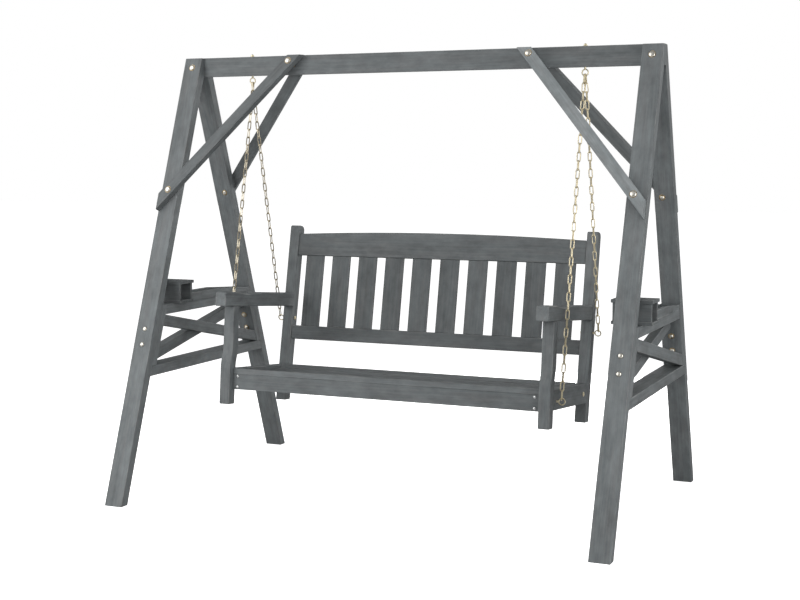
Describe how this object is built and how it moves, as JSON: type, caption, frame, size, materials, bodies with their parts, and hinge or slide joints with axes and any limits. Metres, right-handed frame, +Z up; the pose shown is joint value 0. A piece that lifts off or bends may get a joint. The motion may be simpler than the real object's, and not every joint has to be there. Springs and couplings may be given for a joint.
{
  "type": "swing bench",
  "caption": "Slatted wooden bench hung on chains in a braced A-frame stand, with a tray and a cup box on each side panel; the bench swings forward and back.",
  "frame": {"origin": "on the floor, under the middle of the top beam and midway between the four feet", "axes": "+X to the right along the beam as one faces the bench, +Y to the back of the bench, +Z up"},
  "size_m": [2.078, 1.336, 1.761],
  "materials": {
    "grey_wood": "blue-grey stain, satin, with fine lengthwise grain",
    "hardware": "warm yellow-passivated zinc, semi-bright"
  },
  "bodies": {
    "stand": {"beam_eyes": "hardware", "brace_front_left": "grey_wood", "brace_front_right": "grey_wood", "brace_rear_left": "grey_wood", "brace_rear_right": "grey_wood", "cross_falling_left": "grey_wood", "cross_falling_right": "grey_wood", "cross_rising_left": "grey_wood", "cross_rising_right": "grey_wood", "cup_base_left": "grey_wood", "cup_base_right": "grey_wood", "cup_top_left": "grey_wood", "cup_top_right": "grey_wood", "cup_walls_left": "grey_wood", "cup_walls_right": "grey_wood", "frame_bolts": "hardware", "frame_nuts": "hardware", "leg_front_left": "grey_wood", "leg_front_right": "grey_wood", "leg_rear_left": "grey_wood", "leg_rear_right": "grey_wood", "lower_rail_left": "grey_wood", "lower_rail_right": "grey_wood", "panel_bolts": "hardware", "stile_front_left": "grey_wood", "stile_front_right": "grey_wood", "stile_rear_left": "grey_wood", "stile_rear_right": "grey_wood", "top_beam": "grey_wood", "tray_rim_inner_left": "grey_wood", "tray_rim_inner_right": "grey_wood", "tray_rim_outer_left": "grey_wood", "tray_rim_outer_right": "grey_wood", "upper_rail_left": "grey_wood", "upper_rail_right": "grey_wood"},
    "bench": {"arm_left": "grey_wood", "arm_right": "grey_wood", "back_lower_rail": "grey_wood", "back_post_left": "grey_wood", "back_post_right": "grey_wood", "back_slats": "grey_wood", "back_top_rail": "grey_wood", "bench_eyes": "hardware", "chain_front_left": "hardware", "chain_front_right": "hardware", "chain_rear_left": "hardware", "chain_rear_right": "hardware", "front_post_left": "grey_wood", "front_post_right": "grey_wood", "front_rail": "grey_wood", "rail_bolts": "hardware", "rail_screws": "hardware", "rear_rail": "grey_wood", "seat_bearer": "grey_wood", "seat_slats": "grey_wood", "side_bearer_left": "grey_wood", "side_bearer_right": "grey_wood", "side_rail_left": "grey_wood", "side_rail_right": "grey_wood"}
  },
  "joints": [
    {"name": "bench_swing", "type": "hinge", "parent": "stand", "child": "bench", "pos_m": [0, 0, 1.6421], "axis": [1, 0, 0], "range_deg": [-18, 18]}
  ]
}
